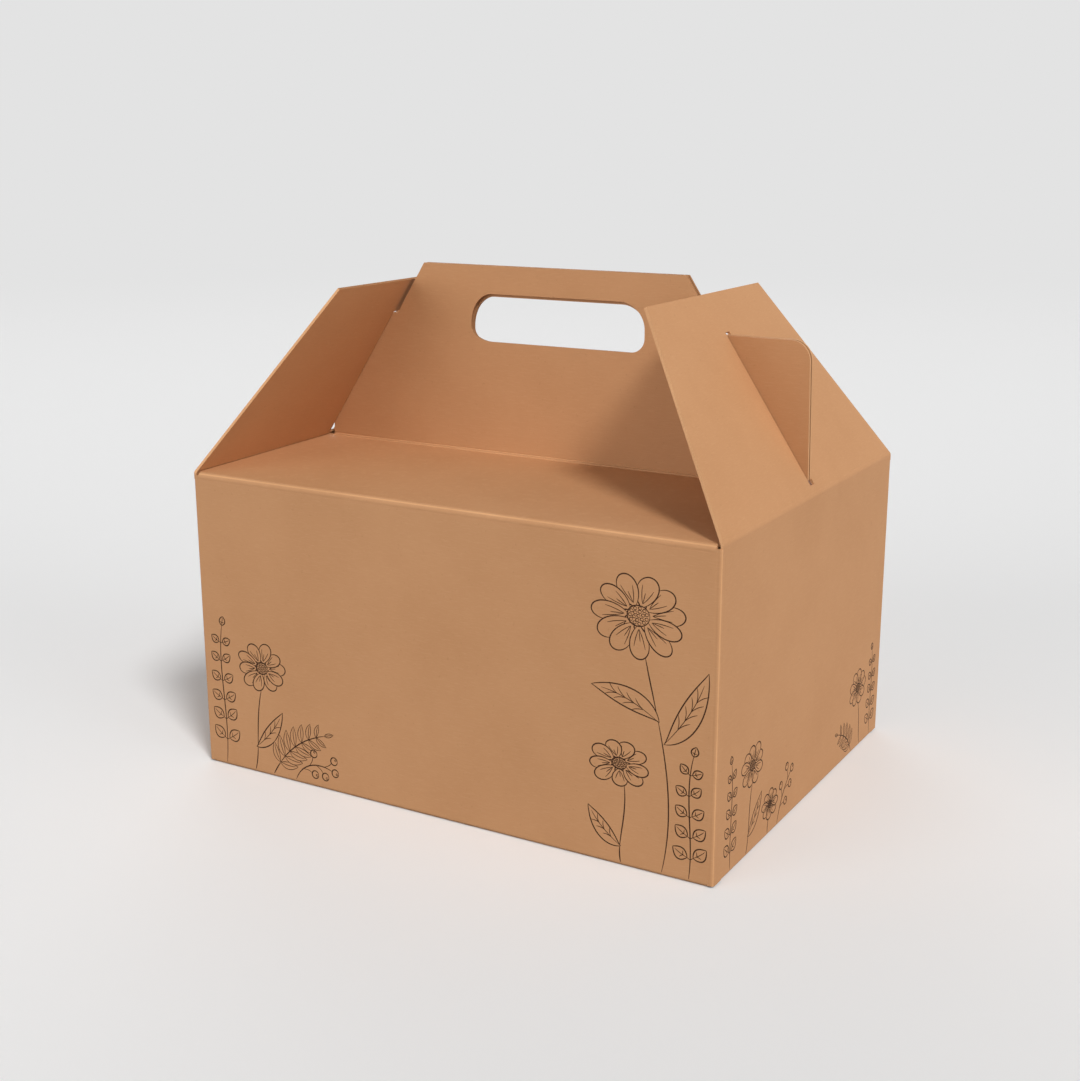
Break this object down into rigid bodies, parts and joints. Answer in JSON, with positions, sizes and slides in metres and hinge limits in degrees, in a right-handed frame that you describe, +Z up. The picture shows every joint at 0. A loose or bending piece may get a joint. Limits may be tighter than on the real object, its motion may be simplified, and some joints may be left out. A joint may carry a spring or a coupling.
{
  "type": "gable box",
  "caption": "Closed kraft board gable box with an upright carrying handle, a hand hole, and end flaps slotted over the handle's ears.",
  "frame": {"origin": "on the floor under the middle of the closed box", "axes": "+X along the front, to the right seen from the front; +Y from the front to the back; +Z up"},
  "size_m": [0.24, 0.1816, 0.211],
  "materials": {
    "kraft_board": "smooth uncoated kraft board with fine brown line print at the lower corners"
  },
  "bodies": {
    "carton": {"carton": "kraft_board"},
    "left_flap": {"left_end_flap": "kraft_board"},
    "right_flap": {"right_end_flap": "kraft_board"}
  },
  "joints": [
    {"name": "left_flap_fold", "type": "hinge", "parent": "carton", "child": "left_flap", "pos_m": [-0.12, 0, 0.129], "axis": [0, -1, 0], "range_deg": [0, 200]},
    {"name": "right_flap_fold", "type": "hinge", "parent": "carton", "child": "right_flap", "pos_m": [0.12, 0, 0.129], "axis": [0, 1, 0], "range_deg": [0, 200]}
  ]
}
